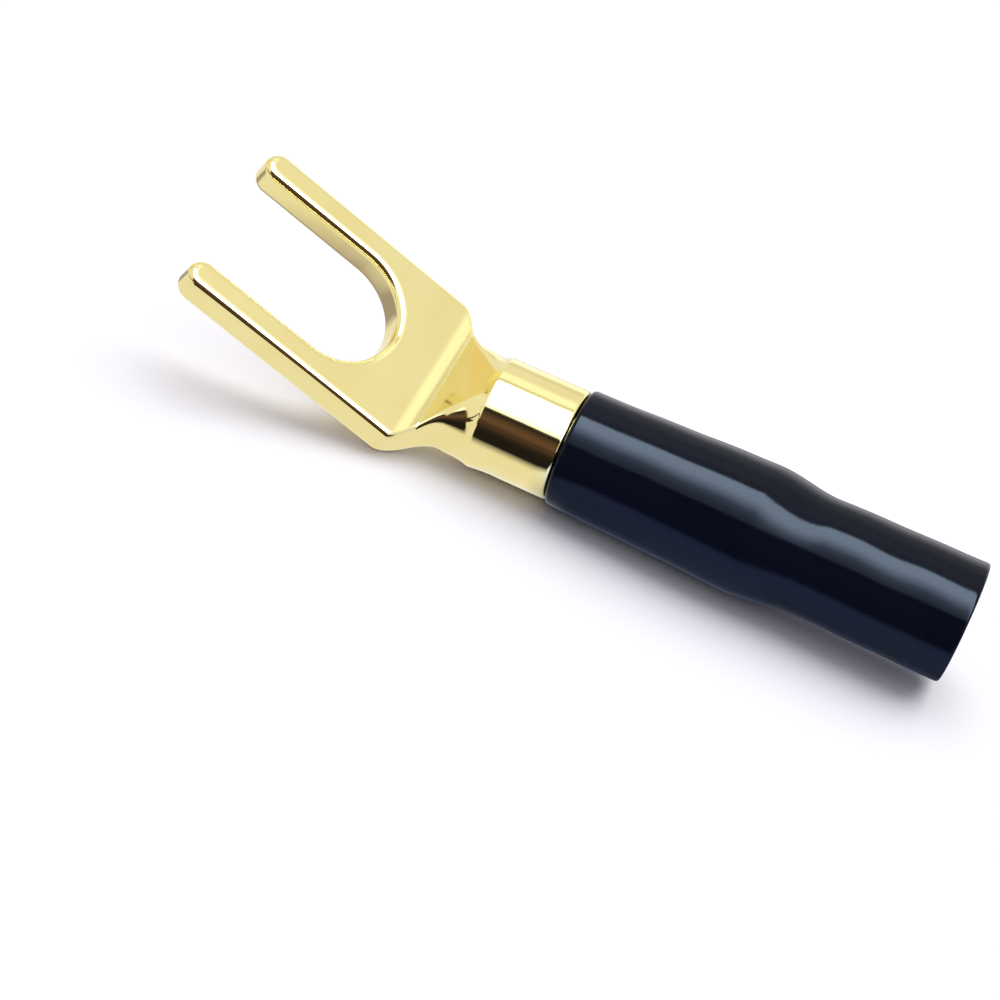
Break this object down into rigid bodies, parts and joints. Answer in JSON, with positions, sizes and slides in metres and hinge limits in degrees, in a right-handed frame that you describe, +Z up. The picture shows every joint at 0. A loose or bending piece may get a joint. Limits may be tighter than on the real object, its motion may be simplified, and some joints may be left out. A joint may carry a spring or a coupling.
{
  "type": "spade plug",
  "caption": "Loudspeaker cable spade plug: a bent gold-plated fork that clamps under a terminal post, with a round collar, a drilled barrel and a smooth sliding sleeve.",
  "frame": {"origin": "centre of the round bottom of the fork's slot, at half the fork's thickness", "axes": "+X along the plug from the fork towards the cable, +Z up as the plug lies at rest, +Y across"},
  "size_m": [0.0523, 0.0144, 0.0129],
  "materials": {
    "gold_plate": "polished gold plate on brass",
    "sleeve_plastic": "glossy moulded soft plastic, blue-black",
    "screw_metal": "gold-plated, plain"
  },
  "bodies": {
    "plug": {"spade_body": "gold_plate"},
    "sleeve": {"sleeve": "sleeve_plastic"},
    "front_screw": {"front_clamp_screw": "screw_metal"},
    "rear_screw": {"rear_clamp_screw": "screw_metal"}
  },
  "joints": [
    {"name": "sleeve_slide", "type": "slide", "parent": "plug", "child": "sleeve", "axis": [0.9994, 0, 0.0357], "range_m": [0, 0.012]},
    {"name": "front_screw_feed", "type": "slide", "parent": "plug", "child": "front_screw", "axis": [0.0308, 0.5032, -0.8636], "range_m": [0, 0.0014]},
    {"name": "rear_screw_feed", "type": "slide", "parent": "plug", "child": "rear_screw", "axis": [0.0308, 0.5032, -0.8636], "range_m": [0, 0.0014]}
  ]
}
